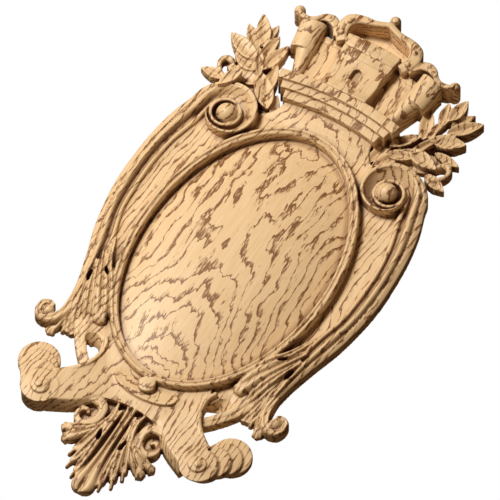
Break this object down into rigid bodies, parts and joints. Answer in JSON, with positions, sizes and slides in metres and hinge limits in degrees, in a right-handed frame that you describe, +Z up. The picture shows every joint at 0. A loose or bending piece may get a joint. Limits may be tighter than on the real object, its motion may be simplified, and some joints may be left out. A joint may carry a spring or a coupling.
{
  "type": "carved cartouche",
  "caption": "Carved oak wall cartouche: plain oval boss in a moulded ring, scrolled frame, mural crown, laurel sprays, curled strapwork and acanthus.",
  "frame": {"origin": "on the flat back face, on the upright centre line, a little above the middle of the oval boss; the back lies on Y = 0", "axes": "+Z up the cartouche towards the crown, +X to the right seen from the front, the carved face looks towards -Y"},
  "size_m": [0.3028, 0.036, 0.6308],
  "materials": {
    "oak": "carved oak, thin clear satin finish"
  },
  "bodies": {
    "root": {"cartouche": "oak"}
  },
  "joints": []
}
